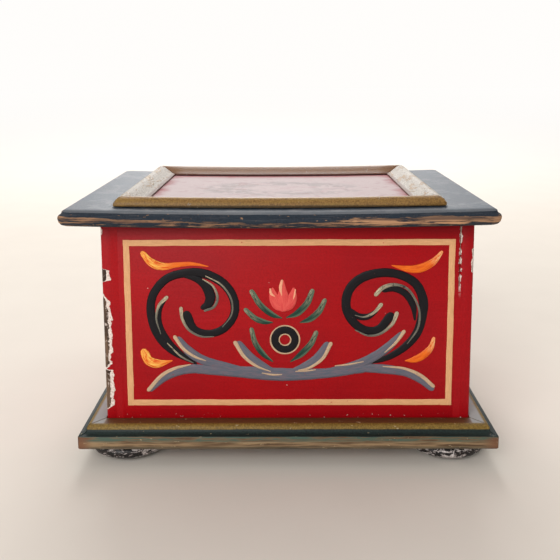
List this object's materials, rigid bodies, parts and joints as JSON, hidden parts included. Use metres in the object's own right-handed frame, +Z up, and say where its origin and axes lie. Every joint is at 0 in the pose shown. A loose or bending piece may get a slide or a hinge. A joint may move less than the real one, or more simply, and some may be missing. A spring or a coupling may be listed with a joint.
{
  "type": "music box",
  "caption": "Painted wooden music box on bun feet: hinged lid with a moulded frame, cylinder movement wound by a key underneath, padded trinket bay.",
  "frame": {"origin": "centre of the object's box in plan, on the floor under the feet", "axes": "+X to the right along the box's width, +Y to the back where the hinges are, +Z up"},
  "size_m": [0.1512, 0.1164, 0.0943],
  "materials": {
    "red_paint": "red oil paint on wood, worn at the edges",
    "ochre_plinth": "ochre and dark green paint rubbed back to wood",
    "black_foot": "black paint with flaked white ground",
    "lid_paint": "glossy blue-black paint, red panel, worn nose",
    "gold_moulding": "bronze gilt on moulding, dulled",
    "bare_wood": "unfinished softwood",
    "lining_paper": "aged lining paper on card",
    "velvet": "dark red velvet",
    "clear_glass": "clear",
    "brass": "satin",
    "steel": "brushed",
    "blued_steel": "heat blued",
    "cast_zinc": "as cast"
  },
  "bodies": {
    "case": {"left_side": "red_paint", "right_side": "red_paint", "front_panel": "red_paint", "back_panel": "red_paint", "bottom_board": "bare_wood", "plinth_front": "ochre_plinth", "plinth_right": "ochre_plinth", "plinth_back": "ochre_plinth", "plinth_left": "ochre_plinth", "foot_front_left": "black_foot", "foot_back_left": "black_foot", "foot_front_right": "black_foot", "foot_back_right": "black_foot", "divider": "bare_wood", "cleat_left": "bare_wood", "cleat_right": "bare_wood", "glass_pane": "clear_glass", "trinket_pad": "velvet", "hinge_case_leaf_left": "brass", "hinge_case_leaf_right": "brass", "hinge_pin_left": "steel", "hinge_pin_right": "steel", "bedplate": "cast_zinc", "bedplate_screw_1": "blued_steel", "bedplate_screw_2": "blued_steel", "bedplate_screw_3": "blued_steel", "comb_base": "cast_zinc", "comb": "steel", "comb_screw_1": "blued_steel", "comb_screw_2": "blued_steel", "barrel_bridge": "steel", "governor_frame": "cast_zinc", "stop_rod_guide": "brass"},
    "lid": {"lid_board": "lid_paint", "lid_lining": "lining_paper", "lid_frame_front": "gold_moulding", "lid_frame_right": "gold_moulding", "lid_frame_back": "gold_moulding", "lid_frame_left": "gold_moulding", "hinge_lid_leaf_left": "brass", "hinge_lid_leaf_right": "brass"},
    "winding": {"winding_arbor": "steel", "ratchet_wheel": "steel", "winding_key": "brass"},
    "barrel": {"spring_barrel": "brass", "barrel_cover": "brass", "mainspring": "steel"},
    "pawl": {"click": "steel"},
    "drum": {"cylinder": "brass", "cylinder_arbor": "steel", "cylinder_gear": "brass"},
    "lay": {"layshaft": "steel", "worm_wheel": "brass"},
    "fly": {"worm_shaft": "steel", "fan": "brass"},
    "stopper": {"stop_rod": "steel"}
  },
  "joints": [
    {"name": "lid_hinge", "type": "hinge", "parent": "case", "child": "lid", "pos_m": [0.0021, 0.0534, 0.0852], "axis": [-1, 0, 0], "range_deg": [0, 100]},
    {"name": "winding_key_turn", "type": "hinge", "parent": "case", "child": "winding", "pos_m": [-0.039, 0.004, 0.02], "axis": [0, 0, 1], "range_deg": [0, 1620]},
    {"name": "click_rock", "type": "hinge", "parent": "case", "child": "pawl", "pos_m": [-0.032, -0.005, 0.0195], "axis": [0, 0, -1], "range_deg": [0, 9], "stiffness_Nm_per_rad": 0.0002},
    {"name": "cylinder_spin", "type": "hinge", "parent": "case", "child": "drum", "pos_m": [-0.015, 0.004, 0.03303], "axis": [1, 0, 0], "continuous": true},
    {"name": "barrel_spin", "type": "hinge", "parent": "case", "child": "barrel", "pos_m": [-0.039, 0.004, 0.024], "axis": [0, 0, 1], "continuous": true},
    {"name": "layshaft_spin", "type": "hinge", "parent": "case", "child": "lay", "pos_m": [0, 0.01359, 0.02992], "axis": [1, 0, 0], "continuous": true},
    {"name": "fan_spin", "type": "hinge", "parent": "case", "child": "fly", "pos_m": [0.0019, 0.02087, 0.03], "axis": [0, 0, 1], "continuous": true},
    {"name": "stop_rod_slide", "type": "slide", "parent": "case", "child": "stopper", "axis": [0, 0, 1], "range_m": [0, 0.003]}
  ],
  "couplings": [
    {"joint": "barrel_spin", "follows": "cylinder_spin", "ratio": 0.33333},
    {"joint": "layshaft_spin", "follows": "cylinder_spin", "ratio": -4},
    {"joint": "fan_spin", "follows": "cylinder_spin", "ratio": 120},
    {"joint": "stop_rod_slide", "follows": "lid_hinge", "m_per_rad": 0.0017}
  ]
}
